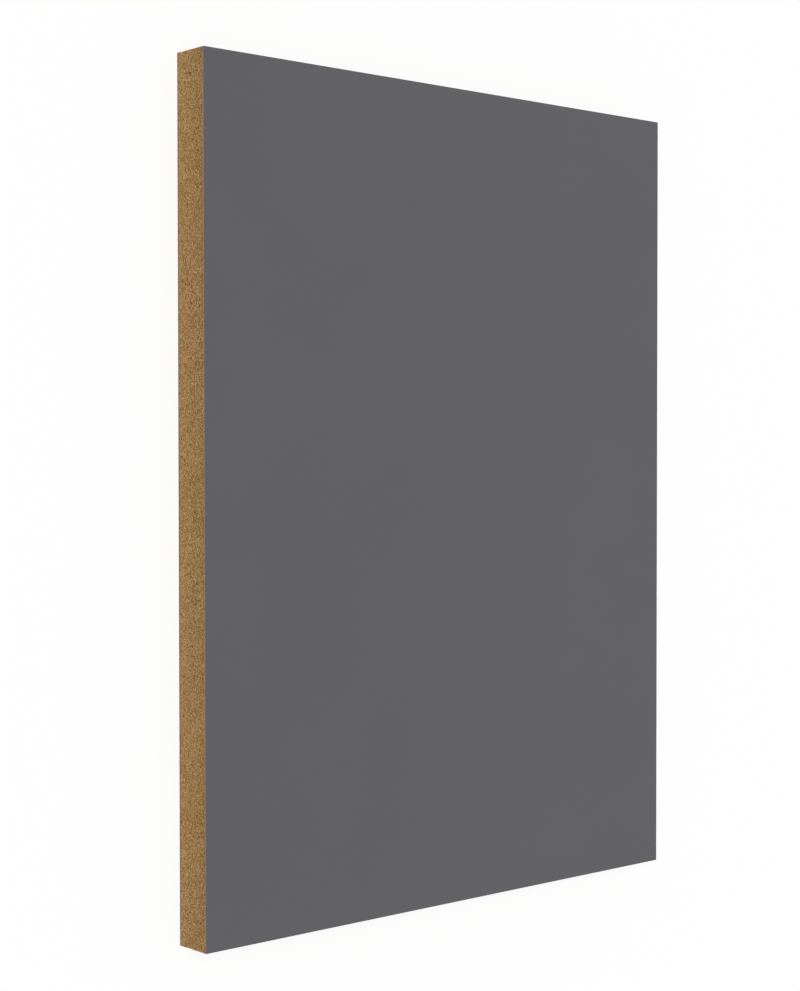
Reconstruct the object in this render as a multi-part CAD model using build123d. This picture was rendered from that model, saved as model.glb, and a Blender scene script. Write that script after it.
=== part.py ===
from build123d import *
import os

# The board as it leaves the panel saw, in millimetres
board_length = 360.0
board_width = 270.0
board_thickness = 18.0

# The decor sheet on the face, and the sheet under the core that keeps the board flat
face_sheet_thickness = 0.4
backing_sheet_thickness = 0.4

# Softening by hand after the cut: the four upright corners, and the outer arris of each sheet
corner_radius = 0.3
arris_bevel = 0.15

# Heights of the two glue lines, from the underside of the board
core_bottom = backing_sheet_thickness
core_top = board_thickness - face_sheet_thickness


def layer(bottom, top):
    """A full-size layer between two heights: all layers are pressed together, then cut in one pass."""
    outline = RectangleRounded(board_width, board_length, corner_radius)
    return Pos(0, 0, bottom) * extrude(outline, top - bottom)


def bevelled(shown_face, sheet_thickness):
    """The sheet with the sharp arris taken off its shown face, as a file drawn along the cut does."""
    widest_bevel = min(sheet_thickness, corner_radius) / 2
    return chamfer(shown_face.edges(), min(arris_bevel, widest_bevel))


# Fibreboard core, bare on all four cut edges
mdf_core = layer(core_bottom, core_top)

# Grey decor sheet, bonded to the upper side of the core
face_sheet = layer(core_top, board_thickness)
face_laminate = bevelled(face_sheet.faces().sort_by(Axis.Z).last, face_sheet_thickness)

# Balancing sheet, bonded to the underside of the core
backing_sheet = layer(0, core_bottom)
backing_laminate = bevelled(backing_sheet.faces().sort_by(Axis.Z).first, backing_sheet_thickness)

pieces = {
    "mdf_core": mdf_core,
    "face_laminate": face_laminate,
    "backing_laminate": backing_laminate,
}

os.makedirs("parts", exist_ok=True)
for name, piece in pieces.items():
    export_step(piece, f"parts/{name}.step")
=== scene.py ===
import bmesh
import bpy
import math
from mathutils import Matrix, Vector


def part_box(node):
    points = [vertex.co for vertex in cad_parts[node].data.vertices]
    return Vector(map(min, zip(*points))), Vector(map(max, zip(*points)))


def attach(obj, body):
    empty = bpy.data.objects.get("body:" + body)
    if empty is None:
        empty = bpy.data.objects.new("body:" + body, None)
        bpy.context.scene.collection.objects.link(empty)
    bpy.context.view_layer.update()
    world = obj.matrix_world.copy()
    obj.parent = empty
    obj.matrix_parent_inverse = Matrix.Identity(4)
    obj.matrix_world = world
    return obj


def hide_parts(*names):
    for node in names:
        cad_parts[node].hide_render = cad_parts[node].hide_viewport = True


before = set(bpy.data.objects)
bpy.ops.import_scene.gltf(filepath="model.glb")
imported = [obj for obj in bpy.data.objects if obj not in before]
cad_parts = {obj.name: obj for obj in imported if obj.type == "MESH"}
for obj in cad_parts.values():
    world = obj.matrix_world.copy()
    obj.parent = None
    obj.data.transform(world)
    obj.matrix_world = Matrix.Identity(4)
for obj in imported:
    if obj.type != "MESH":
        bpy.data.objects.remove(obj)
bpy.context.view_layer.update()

# Fibreboard core
# Wood fibre and resin pressed hot into a sheet, which is densest and darkest at its two faces.
# The saw cuts its four edges square and leaves the fibre bare there, matted and slightly furred.

# Lengths are in metres, and the board's colours in picture levels, from 0 to 255.
core_low, core_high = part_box("mdf_core")
corner_radius = 0.0003
corner_steps = 4
fibre_spacing = 0.00056
fur_size = 0.0014
fur_depth = 0.00014
# The fur's noise leaves the wall flush up to the first level and is at full depth from the second.
flush_level = 0.35
deepest_level = 0.7
# The share of the thickness, about its middle, where the fibre is loose enough to fur to the full depth.
loose_share = 0.65
core_seed = 7.0
dark_fibre = (76, 48, 18)
middle_fibre = (146.2, 110.8, 63.7)
pale_fibre = (206, 173, 126)
# Noise is even about its middle, and a finish's tone runs from 0, darkest, through its middle to 1, palest.
noise_middle = 0.5
middle_tone = 0.5


def add_node(tree, kind, inputs, **settings):
    """Adds a node to a tree. Each input is a plain value or another node's output."""
    node = tree.nodes.new(kind)
    for name, value in settings.items():
        setattr(node, name, value)
    for key, value in inputs.items():
        if isinstance(value, bpy.types.NodeSocket):
            tree.links.new(value, node.inputs[key])
        else:
            node.inputs[key].default_value = value
    return node


def add_math(tree, operation, *values):
    """Adds a Math node and returns its result."""
    return add_node(tree, "ShaderNodeMath", dict(enumerate(values)), operation=operation).outputs[0]


def add_vector_math(tree, operation, *values):
    """Adds a Vector Math node and returns its result."""
    return add_node(tree, "ShaderNodeVectorMath", dict(enumerate(values)), operation=operation).outputs[0]


def add_range(tree, value, low, high, to_low, to_high, kind="LINEAR"):
    """Adds a Map Range node from low..high to to_low..to_high and returns its result."""
    inputs = {"Value": value, 1: low, 2: high, 3: to_low, 4: to_high}
    return add_node(tree, "ShaderNodeMapRange", inputs, interpolation_type=kind).outputs[0]


def add_sum(tree, start, *shares):
    """Adds values to a start, each times its own share, and returns the total."""
    total = start
    for value, share in shares:
        total = add_math(tree, "MULTIPLY_ADD", value, share, total)
    return total


def start_shape(name, sizes):
    """Starts a geometry tree with named inputs. Returns the tree, its inputs and its end socket."""
    tree = bpy.data.node_groups.new(name, "GeometryNodeTree")
    tree.interface.new_socket("Mesh", in_out="OUTPUT", socket_type="NodeSocketGeometry")
    for label, value in sizes.items():
        kind = "NodeSocketMaterial" if isinstance(value, bpy.types.Material) else "NodeSocketFloat"
        tree.interface.new_socket(label, in_out="INPUT", socket_type=kind)
    return tree, tree.nodes.new("NodeGroupInput").outputs, tree.nodes.new("NodeGroupOutput").inputs["Mesh"]


def add_place(tree):
    """Adds each point's place on the piece. Returns the place and its height."""
    place = add_node(tree, "GeometryNodeInputPosition", {}).outputs[0]
    return place, add_node(tree, "ShaderNodeSeparateXYZ", {0: place}).outputs["Z"]


def add_walls(tree, given):
    """Adds the upright sawn walls of a layer, round a rectangle with just-eased corners."""
    rectangle = add_node(
        tree, "GeometryNodeCurvePrimitiveQuadrilateral",
        {"Width": given["Width"], "Height": given["Length"]},
    )
    eased = add_node(
        tree, "GeometryNodeFilletCurve",
        {"Curve": rectangle.outputs[0], "Count": corner_steps, "Radius": given["Corner Radius"]},
        mode="POLY",
    )
    here, _ = add_place(tree)
    next_point = add_node(tree, "GeometryNodeOffsetPointInCurve", {"Offset": 1}).outputs["Point Index"]
    there = add_node(
        tree, "GeometryNodeFieldAtIndex", {"Index": next_point, "Value": here}, data_type="FLOAT_VECTOR",
    )
    run = add_node(tree, "ShaderNodeVectorMath", {0: here, 1: there.outputs[0]}, operation="DISTANCE")
    cuts = add_math(tree, "DIVIDE", run.outputs["Value"], given["Spacing Along"])
    outline = add_node(tree, "GeometryNodeSubdivideCurve", {"Curve": eased.outputs[0], "Cuts": cuts})
    # A swept line's Y points down the wall, so heights change their sign.
    head = add_node(tree, "ShaderNodeCombineXYZ", {"Y": add_math(tree, "MULTIPLY", given["Top"], -1.0)})
    foot = add_node(tree, "ShaderNodeCombineXYZ", {"Y": add_math(tree, "MULTIPLY", given["Bottom"], -1.0)})
    upright = add_node(
        tree, "GeometryNodeCurvePrimitiveLine", {"Start": head.outputs[0], "End": foot.outputs[0]},
    )
    stepped = add_node(
        tree, "GeometryNodeResampleCurve",
        {"Curve": upright.outputs[0], "Length": given["Spacing Up"]}, mode="LENGTH",
    )
    return add_node(
        tree, "GeometryNodeCurveToMesh", {"Curve": outline.outputs[0], "Profile Curve": stepped.outputs[0]},
    ).outputs[0]


def add_grain(tree, place, size, seed):
    """Adds noise to a shape, with features about this many metres across, and returns its value."""
    inputs = {"Vector": place, "W": seed, "Scale": 1 / size, "Detail": 2.0, "Roughness": 0.6}
    return add_node(tree, "ShaderNodeTexNoise", inputs, noise_dimensions="4D").outputs["Fac"]


def add_sinking(tree, walls, depth):
    """Adds a move of the walls' points inwards by this depth, with the walls then shaded smooth."""
    outwards = add_node(tree, "GeometryNodeInputNormal", {}).outputs[0]
    inset = add_math(tree, "MULTIPLY", depth, -1.0)
    offset = add_node(tree, "ShaderNodeVectorMath", {0: outwards, "Scale": inset}, operation="SCALE")
    moved = add_node(tree, "GeometryNodeSetPosition", {"Geometry": walls, "Offset": offset.outputs[0]})
    return add_node(tree, "GeometryNodeSetShadeSmooth", {"Geometry": moved.outputs[0]}).outputs[0]


def add_cover(tree, walls, height):
    """Adds a flat face that closes the walls at this height."""
    height_slack = 0.00001
    faces_beside = add_node(tree, "GeometryNodeInputMeshEdgeNeighbors", {}).outputs[0]
    # An open edge has fewer than two faces beside it.
    open_edge = add_math(tree, "LESS_THAN", faces_beside, 2.0)
    _, rise = add_place(tree)
    at_height = add_math(tree, "COMPARE", rise, height, height_slack)
    rim = add_node(
        tree, "GeometryNodeMeshToCurve",
        {"Mesh": walls, "Selection": add_math(tree, "MULTIPLY", open_edge, at_height)},
    )
    filled = add_node(tree, "GeometryNodeFillCurve", {"Curve": rim.outputs[0]}, mode="NGONS")
    lift = add_node(tree, "ShaderNodeCombineXYZ", {"Z": height})
    return add_node(
        tree, "GeometryNodeSetPosition", {"Geometry": filled.outputs[0], "Offset": lift.outputs[0]},
    ).outputs[0]


def add_closing(tree, walls, given):
    """Adds both covers to the walls and joins all three into one closed shape."""
    weld_distance = 0.000002
    upper = add_cover(tree, walls, given["Top"])
    lower = add_cover(tree, walls, given["Bottom"])
    lower = add_node(tree, "GeometryNodeFlipFaces", {"Mesh": lower}).outputs[0]
    whole = tree.nodes.new("GeometryNodeJoinGeometry")
    for shape in (walls, lower, upper):
        tree.links.new(shape, whole.inputs[0])
    closed = add_node(
        tree, "GeometryNodeMergeByDistance", {"Geometry": whole.outputs[0], "Distance": weld_distance},
    )
    return add_node(tree, "GeometryNodeRealizeInstances", {"Geometry": closed.outputs[0]}).outputs[0]


def make_piece(name, tree, sizes):
    """Runs a geometry tree with these sizes and keeps its result as a plain closed mesh."""
    piece = bpy.data.objects.new(name, bpy.data.meshes.new(name))
    bpy.context.scene.collection.objects.link(piece)
    modifier = piece.modifiers.new(name, "NODES")
    modifier.node_group = tree
    for socket in tree.interface.items_tree:
        if socket.in_out == "INPUT":
            modifier[socket.identifier] = sizes[socket.name]
    ready = piece.evaluated_get(bpy.context.evaluated_depsgraph_get())
    mesh = bpy.data.meshes.new_from_object(ready)
    piece.modifiers.clear()
    piece.data = mesh
    shell = bmesh.new()
    shell.from_mesh(mesh)
    bmesh.ops.recalc_face_normals(shell, faces=shell.faces)
    shell.to_mesh(mesh)
    shell.free()
    return piece


def lay_out(piece, low, high, strip_height, shown_scale, hidden_scale, shown_up=True):
    """Lays a layer out flat on its picture, whose sides count as 1.

    First come the walls, in eight strips that are each half a side long, then the shown and the hidden face.
    A strip's height is a share of the picture, and a face's scale is such a share for each metre.
    """
    picture_pixels = 1024
    gap_pixels = 8
    gap = gap_pixels / picture_pixels
    strip_count = 8
    nearly_level = 0.9
    mesh = piece.data
    flat = mesh.uv_layers.new(name="OFBake").data
    half = (high - low) / 2
    strip_scale = (1 - 2 * gap) / half.y
    shown_base = strip_count * (strip_height + gap) + gap
    hidden_base = shown_base + (high.x - low.x) * shown_scale + gap
    for face in mesh.polygons:
        on_end = abs(face.normal.y) > abs(face.normal.x)
        middle = face.center.x if on_end else face.center.y
        reach = half.x if on_end else half.y
        outwards = face.normal.y if on_end else face.normal.x
        # The strip's number says if it is on a short side, on which of the two, and on which half of it.
        strip = 4 * on_end + 2 * (outwards > 0) + (middle > 0)
        start = 0.0 if middle > 0 else -reach
        shown = (face.normal.z > 0) == shown_up
        base, scale = (shown_base, shown_scale) if shown else (hidden_base, hidden_scale)
        for corner in face.loop_indices:
            point = mesh.vertices[mesh.loops[corner].vertex_index].co
            if abs(face.normal.z) > nearly_level:
                across = gap + (point.y - low.y) * scale
                up = base + (point.x - low.x) * scale
            else:
                along = (point.x if on_end else point.y) - start
                rise = (point.z - low.z) / (high.z - low.z)
                across = gap + along * strip_scale
                up = gap + strip * (strip_height + gap) + rise * strip_height
            flat[corner].uv = (across, up)


def linear(red, green, blue):
    """A colour in picture levels as the linear light that a shader takes, by the standard screen curve."""
    shares = [level / 255 for level in (red, green, blue)]
    return [s / 12.92 if s <= 0.04045 else ((s + 0.055) / 1.055) ** 2.4 for s in shares] + [1.0]


def new_finish(name):
    """Starts a material. Returns it with its tree, its shader and the place on the piece."""
    finish = bpy.data.materials.new(name)
    finish.use_nodes = True
    tree = finish.node_tree
    place = tree.nodes.new("ShaderNodeTexCoord").outputs["Object"]
    return finish, tree, tree.nodes["Principled BSDF"], place


def add_noise(tree, place, size, detail=2.0, roughness=0.5):
    """Adds noise with features about this many metres across, even about zero, and returns its value."""
    inputs = {"Vector": place, "Scale": 1 / size, "Detail": detail, "Roughness": roughness}
    noise = add_node(tree, "ShaderNodeTexNoise", inputs)
    return add_math(tree, "SUBTRACT", noise.outputs["Fac"], noise_middle)


def add_sway(tree, place, size, reach):
    """Adds a random push of each point by up to about half this reach, over features of this size."""
    inputs = {"Vector": place, "Scale": 1 / size, "Detail": 2.0}
    push = add_node(tree, "ShaderNodeTexNoise", inputs).outputs["Color"]
    push = add_vector_math(tree, "SUBTRACT", push, (noise_middle, noise_middle, noise_middle))
    return add_vector_math(tree, "MULTIPLY_ADD", push, (reach, reach, reach), place)


def add_lying(tree, place, slenderness, shift=(0.0, 0.0, 0.0)):
    """Adds a place for a pattern that lies along the board, this many times as long as high."""
    return add_vector_math(tree, "MULTIPLY_ADD", place, (1.0, 1.0, slenderness), shift)


def add_flecks(tree, place, size, rarity):
    """Adds soft flecks about half this size, of which the strong ones are rarer. Returns their cover."""
    full_within = 0.1
    gone_beyond = 0.6
    cells = add_node(tree, "ShaderNodeTexVoronoi", {"Vector": place, "Scale": 1 / size})
    chance = add_node(tree, "ShaderNodeSeparateColor", {0: cells.outputs["Color"]}).outputs["Blue"]
    strength = add_math(tree, "POWER", chance, rarity)
    spot = add_range(tree, cells.outputs["Distance"], full_within, gone_beyond, 1.0, 0.0, "SMOOTHSTEP")
    return add_math(tree, "MULTIPLY", spot, strength)


def add_tones(tree, tone, *stops):
    """Adds a colour ramp through these stops, each a place from 0 to 1 and a colour. Returns the colour."""
    node = add_node(tree, "ShaderNodeValToRGB", {"Fac": tone})
    ramp = node.color_ramp
    ramp.elements.remove(ramp.elements[1])
    ramp.elements[0].position, ramp.elements[0].color = stops[0]
    for position, colour in stops[1:]:
        ramp.elements.new(position).color = colour
    return node.outputs["Color"]


def add_bump(tree, shader, height, distance, strength):
    """Adds fine relief to a shader, from this height over this distance in metres."""
    bump = add_node(tree, "ShaderNodeBump", {"Strength": strength, "Distance": distance, "Height": height})
    tree.links.new(bump.outputs[0], shader.inputs["Normal"])


def sawn_fibre():
    """Bare fibreboard: a felt of fibres that lie along the board, with darker and paler bundles in it."""
    finish, tree, shader, place = new_finish("sawn_fibre")
    swayed = add_sway(tree, place, size=0.0024, reach=0.0012)
    fibres = add_lying(tree, swayed, slenderness=1.4)
    felt = add_noise(tree, fibres, size=0.0004, detail=4.0, roughness=0.65)
    cloud = add_noise(tree, place, size=0.007, detail=3.0)

    # The bundles are frayed, and the felt takes each from nothing to twice its strength.
    frayed = add_sway(tree, swayed, size=0.0004, reach=0.0003)
    felt_reach = 0.15
    streak = add_range(tree, felt, -felt_reach, felt_reach, 0.0, 2.0)
    dark_bundles = add_lying(tree, frayed, slenderness=4.0)
    dark = add_math(tree, "MULTIPLY", add_flecks(tree, dark_bundles, size=0.0012, rarity=3.0), streak)
    # The shift keeps the pale bundles from following the dark ones.
    pale_bundles = add_lying(tree, frayed, slenderness=2.2, shift=(0.31, 0.17, 0.23))
    pale = add_math(tree, "MULTIPLY", add_flecks(tree, pale_bundles, size=0.0007, rarity=1.0), streak)

    # The dense skin takes the outer part of the thickness, from this share of the way out.
    skin_starts = 0.85
    rise = add_node(tree, "ShaderNodeSeparateXYZ", {0: place}).outputs["Z"]
    towards_face = add_range(tree, rise, core_low.z, core_high.z, -1.0, 1.0)
    from_middle = add_math(tree, "ABSOLUTE", towards_face)
    skin = add_range(tree, from_middle, skin_starts, 1.0, 0.0, 1.0, "SMOOTHSTEP")

    # The towards_face share is painted light: it makes the cut edge paler towards the back face, which lies
    # on the floor, and darker towards the shown face, as light from the white floor below would.
    tone = add_sum(
        tree, middle_tone,
        (felt, 2.75), (cloud, 0.17), (dark, -1.2), (pale, 0.5), (towards_face, -0.065), (skin, -0.02),
    )
    colour = add_tones(
        tree, tone,
        (0.0, linear(*dark_fibre)), (middle_tone, linear(*middle_fibre)), (1.0, linear(*pale_fibre)),
    )
    tree.links.new(colour, shader.inputs["Base Color"])
    add_bump(tree, shader, tone, distance=0.0001, strength=0.35)
    shader.inputs["Roughness"].default_value = 0.9
    shader.inputs["Specular IOR Level"].default_value = 0.15
    return finish


core_sizes = {
    "Width": core_high.x - core_low.x,
    "Length": core_high.y - core_low.y,
    "Bottom": core_low.z,
    "Top": core_high.z,
    "Corner Radius": corner_radius,
    "Spacing Along": fibre_spacing,
    "Spacing Up": fibre_spacing,
    "Fur Depth": fur_depth,
    "Seed": core_seed,
    "Sawn Fibre": sawn_fibre(),
}
tree, given, end = start_shape("sawn_core", core_sizes)
walls = add_walls(tree, given)
place, rise = add_place(tree)
from_middle = add_math(tree, "ABSOLUTE", add_range(tree, rise, given["Bottom"], given["Top"], -1.0, 1.0))
looseness = add_range(tree, from_middle, 1.0, loose_share, 0.0, 1.0, "SMOOTHSTEP")
fur_noise = add_grain(tree, place, fur_size, given["Seed"])
fur = add_range(tree, fur_noise, flush_level, deepest_level, 0.0, 1.0)
hollow = add_math(tree, "MULTIPLY", add_math(tree, "MULTIPLY", fur, looseness), given["Fur Depth"])
solid = add_closing(tree, add_sinking(tree, walls, hollow), given)
painted = add_node(tree, "GeometryNodeSetMaterial", {"Geometry": solid, "Material": given["Sawn Fibre"]})
tree.links.new(painted.outputs[0], end)
core = make_piece("core_with_sawn_edges", tree, core_sizes)
lay_out(core, core_low, core_high, strip_height=0.094, shown_scale=0.3, hidden_scale=0.3)
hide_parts("mdf_core")
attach(core, "root")

# Decor sheet
# Plain grey paper soaked in resin and pressed onto the core as a hard, matt skin.
# It is sawn with the core in one cut, which leaves its arris just eased, bruised and with tiny nicks.

face_low, face_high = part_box("face_laminate")
sheet_spacing = 0.0004
arris_radius = 0.00015
arris_steps = 4
nick_size = 0.0008
# A nick begins where its noise passes the first level, and is at full depth from the second.
nick_level = 0.58
full_nick_level = 0.68
nick_reach_in_radii = 2.0
face_nick_depth = 0.0001
face_seed = 3.0
# A face that turns less than this towards the shown side belongs to the rim.
rim_turn = 0.3
face_grey = (89.5, 88.3, 93.6)
face_rim_brown = (143, 119, 92)
bruise_brown = (140, 117, 90)


def add_mix(tree, share, one, other):
    """Adds a mix of two colours, with this share of the other, and returns it."""
    mix = add_node(tree, "ShaderNodeMix", {0: share, 6: one, 7: other}, data_type="RGBA")
    return mix.outputs[2]


def decor_skin(name, grey, dullness, wear):
    """Matt resin over plain grey paper: even, finely pebbled, and brown where the saw bruised the arris."""
    paper_spread = 6
    finish, tree, shader, place = new_finish(name)
    paper = add_noise(tree, place, size=0.0004, detail=2.0, roughness=0.6)
    cloud = add_noise(tree, place, size=0.06, detail=1.0)
    pebble = add_noise(tree, place, size=0.0004, detail=1.0)
    rub = add_noise(tree, place, size=0.02, detail=2.0, roughness=0.6)
    tone = add_sum(tree, middle_tone, (paper, 0.7), (cloud, 0.25))
    darker = linear(*(level - paper_spread for level in grey))
    paler = linear(*(level + paper_spread for level in grey))
    printed = add_tones(tree, tone, (0.0, darker), (1.0, paler))
    bruise = add_node(tree, "ShaderNodeAttribute", {}, attribute_name="bruise").outputs["Fac"]
    bruised = add_mix(tree, add_math(tree, "MULTIPLY", bruise, wear), printed, linear(*bruise_brown))
    tree.links.new(bruised, shader.inputs["Base Color"])
    gloss = add_sum(tree, dullness, (paper, 0.1), (rub, 0.1), (bruise, 0.2))
    tree.links.new(gloss, shader.inputs["Roughness"])
    add_bump(tree, shader, pebble, distance=0.0001, strength=0.6)
    shader.inputs["Specular IOR Level"].default_value = 0.25
    return finish


def sawn_rim(name, brown):
    """The cut rim of a sheet: resin and paper, browned and in fine layers."""
    layer_spread = 0.2
    finish, tree, shader, place = new_finish(name)
    layers = add_lying(tree, place, slenderness=8.0)
    layer = add_noise(tree, layers, size=0.0006, detail=3.0, roughness=0.6)
    tone = add_sum(tree, middle_tone, (layer, 1.6))
    darker = linear(*(level * (1 - layer_spread) for level in brown))
    paler = linear(*(level * (1 + layer_spread) for level in brown))
    colour = add_tones(tree, tone, (0.0, darker), (1.0, paler))
    tree.links.new(colour, shader.inputs["Base Color"])
    add_bump(tree, shader, layer, distance=0.00003, strength=0.4)
    shader.inputs["Roughness"].default_value = 0.85
    shader.inputs["Specular IOR Level"].default_value = 0.15
    return finish


def pressed_sheet_sizes(low, high, shown_height, nick_depth, seed, skin, rim):
    """The sizes and finishes of one pressed sheet, from its box and the height of its shown face."""
    return {
        "Width": high.x - low.x,
        "Length": high.y - low.y,
        "Bottom": low.z,
        "Top": high.z,
        "Shown Height": shown_height,
        "Corner Radius": corner_radius,
        "Arris Radius": arris_radius,
        "Spacing Along": sheet_spacing,
        "Spacing Up": arris_radius / arris_steps,
        "Nick Depth": nick_depth,
        "Seed": seed,
        "Skin": skin,
        "Rim": rim,
    }


face_sizes = pressed_sheet_sizes(
    face_low, face_high, face_high.z, face_nick_depth, face_seed,
    skin=decor_skin("decor_skin", face_grey, dullness=0.58, wear=0.75),
    rim=sawn_rim("decor_rim", face_rim_brown),
)
sheet_tree, given, end = start_shape("pressed_sheet", face_sizes)
walls = add_walls(sheet_tree, given)
place, rise = add_place(sheet_tree)

# The arris is a quarter circle, so each point sinks by the radius less the circle's reach at its height.
from_face = add_math(sheet_tree, "ABSOLUTE", add_math(sheet_tree, "SUBTRACT", rise, given["Shown Height"]))
into_arris = add_range(sheet_tree, from_face, 0.0, given["Arris Radius"], 1.0, 0.0)
squared = add_math(sheet_tree, "POWER", into_arris, 2.0)
circle_reach = add_math(sheet_tree, "SQRT", add_math(sheet_tree, "SUBTRACT", 1.0, squared))
short_of_wall = add_math(sheet_tree, "SUBTRACT", 1.0, circle_reach)
rounding = add_math(sheet_tree, "MULTIPLY", short_of_wall, given["Arris Radius"])

# A nick runs straight across the arris and fades out a little beyond it.
flat_place = add_vector_math(sheet_tree, "MULTIPLY", place, (1.0, 1.0, 0.0))
nick_noise = add_grain(sheet_tree, flat_place, nick_size, given["Seed"])
chipped = add_range(sheet_tree, nick_noise, nick_level, full_nick_level, 0.0, 1.0, "SMOOTHSTEP")
nick_reach = add_math(sheet_tree, "MULTIPLY", given["Arris Radius"], nick_reach_in_radii)
nick = add_math(sheet_tree, "MULTIPLY", chipped, add_range(sheet_tree, from_face, 0.0, nick_reach, 1.0, 0.0))
inset = add_math(sheet_tree, "MULTIPLY_ADD", nick, given["Nick Depth"], rounding)

# The saw's rub is 4 x (1 - x) across the arris: none at either end, and 1 in the middle.
fading = add_range(sheet_tree, into_arris, 0.0, 1.0, 4.0, 0.0)
rubbed = add_math(sheet_tree, "MULTIPLY", into_arris, fading)
marked = add_node(
    sheet_tree, "GeometryNodeStoreNamedAttribute",
    {"Geometry": walls, "Name": "bruise", "Value": add_math(sheet_tree, "MAXIMUM", nick, rubbed)},
    data_type="FLOAT", domain="CORNER",
)
solid = add_closing(sheet_tree, add_sinking(sheet_tree, marked.outputs[0], inset), given)

# The skin covers the shown side and most of its arris, and the rest is rim.
skinned = add_node(sheet_tree, "GeometryNodeSetMaterial", {"Geometry": solid, "Material": given["Skin"]})
outwards = add_node(sheet_tree, "GeometryNodeInputNormal", {}).outputs[0]
upwards = add_node(sheet_tree, "ShaderNodeSeparateXYZ", {0: outwards}).outputs["Z"]
middle = add_math(sheet_tree, "MULTIPLY", add_math(sheet_tree, "ADD", given["Bottom"], given["Top"]), 0.5)
shown_side = add_math(sheet_tree, "SIGN", add_math(sheet_tree, "SUBTRACT", given["Shown Height"], middle))
shown_turn = add_math(sheet_tree, "MULTIPLY", upwards, shown_side)
on_rim = add_math(sheet_tree, "LESS_THAN", shown_turn, rim_turn)
rimmed = add_node(
    sheet_tree, "GeometryNodeSetMaterial",
    {"Geometry": skinned.outputs[0], "Selection": on_rim, "Material": given["Rim"]},
)
sheet_tree.links.new(rimmed.outputs[0], end)
face_sheet = make_piece("decor_sheet", sheet_tree, face_sizes)
lay_out(face_sheet, face_low, face_high, strip_height=0.012, shown_scale=2.7, hidden_scale=0.3)
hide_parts("face_laminate")
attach(face_sheet, "root")

# Backing sheet
# A second sheet of the same make on the back, which balances the pull of the decor sheet.
# It is sanded duller, and the saw nicked its arris a little more where the blade came out.

back_low, back_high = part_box("backing_laminate")
back_nick_depth = 0.00014
back_seed = 11.0
back_grey = (89, 88, 92)
back_rim_brown = (120, 100, 77)
back_sizes = pressed_sheet_sizes(
    back_low, back_high, back_low.z, back_nick_depth, back_seed,
    skin=decor_skin("backing_skin", back_grey, dullness=0.7, wear=0.5),
    rim=sawn_rim("backing_rim", back_rim_brown),
)
back_sheet = make_piece("backing_sheet", sheet_tree, back_sizes)
lay_out(
    back_sheet, back_low, back_high, strip_height=0.012, shown_scale=2.7, hidden_scale=0.3, shown_up=False,
)
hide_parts("backing_laminate")
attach(back_sheet, "root")

# Studio floor, light and camera
# A white floor under an even white sky, with one soft lamp from the upper left of the picture.
# The eye sees both as plain white, and the floor keeps a faint shadow.

floor_half = 6.0
floor_white = (0.97, 0.97, 0.97, 1.0)
plain_white = (1.0, 1.0, 1.0, 1.0)
# The share of plain glow in the floor that the eye sees, the rest of which is lit and holds the shadow.
shadow_softening = 0.85
floor_mesh = bpy.data.meshes.new("studio_floor")
floor_corners = [(x * floor_half, y * floor_half, 0.0) for x, y in ((-1, -1), (1, -1), (1, 1), (-1, 1))]
floor_mesh.from_pydata(floor_corners, [], [(0, 1, 2, 3)])
floor = bpy.data.objects.new("studio_floor", floor_mesh)
bpy.context.scene.collection.objects.link(floor)


def add_seen(tree):
    """Adds 1 for what the eye sees, straight, mirrored or through glass, and 0 for light on its way."""
    rays = tree.nodes.new("ShaderNodeLightPath").outputs
    straight = add_math(tree, "MAXIMUM", rays["Is Camera Ray"], rays["Is Glossy Ray"])
    return add_math(tree, "MAXIMUM", straight, rays["Is Transmission Ray"])


white_floor, tree, shader, _ = new_finish("white_floor")
shader.inputs["Base Color"].default_value = floor_white
shader.inputs["Roughness"].default_value = 1.0
shader.inputs["Specular IOR Level"].default_value = 0.0
glow = add_node(tree, "ShaderNodeEmission", {"Color": plain_white, "Strength": 1.0})
shown_glow = add_math(tree, "MULTIPLY", add_seen(tree), shadow_softening)
floor_look = add_node(
    tree, "ShaderNodeMixShader", {0: shown_glow, 1: shader.outputs[0], 2: glow.outputs[0]},
)
tree.links.new(floor_look.outputs[0], tree.nodes["Material Output"].inputs["Surface"])
floor_mesh.materials.append(white_floor)

# The sky and the lamp together light a level surface to 1.
sky_level = 0.6
lamp_level = 1.0 - sky_level
lamp_from = Vector((-0.5, 0.25, 0.9)).normalized()
lamp_spread = math.radians(25)
world = bpy.data.worlds.new("studio_sky")
bpy.context.scene.world = world
world.use_nodes = True
sky = world.node_tree.nodes["Background"].inputs
sky["Color"].default_value = plain_white
sky_strength = add_range(world.node_tree, add_seen(world.node_tree), 0.0, 1.0, sky_level, 1.0)
world.node_tree.links.new(sky_strength, sky["Strength"])

lamp_data = bpy.data.lights.new("soft_lamp", "SUN")
lamp_data.energy = lamp_level * math.pi / lamp_from.z
lamp_data.angle = lamp_spread
lamp = bpy.data.objects.new("soft_lamp", lamp_data)
lamp.rotation_euler = lamp_from.to_track_quat("Z", "Y").to_euler()
bpy.context.scene.collection.objects.link(lamp)

# The camera looks down over the left long edge, and the board's length runs up the picture.
view_lift = math.radians(48.70)
view_swing = math.radians(1.908)
view_lean = math.radians(-0.045)
view_distance = 0.8340
lens_millimetres = 70.28
aim = Vector((-0.0320, 0.00114, face_high.z))
towards_eye = Vector((
    -math.cos(view_lift) * math.cos(view_swing),
    math.cos(view_lift) * math.sin(view_swing),
    math.sin(view_lift),
))
along_board = Vector((0, 1, 0))
picture_right = along_board.cross(towards_eye).normalized()
picture_up = towards_eye.cross(picture_right)
camera_data = bpy.data.cameras.new("camera")
camera_data.lens = lens_millimetres
camera = bpy.data.objects.new("camera", camera_data)
camera.matrix_world = (
    Matrix.Translation(aim + towards_eye * view_distance)
    @ Matrix((picture_right, picture_up, towards_eye)).transposed().to_4x4()
    @ Matrix.Rotation(view_lean, 4, "Z")
)
bpy.context.scene.collection.objects.link(camera)
bpy.context.scene.camera = camera

bpy.context.scene.view_settings.view_transform = "Standard"
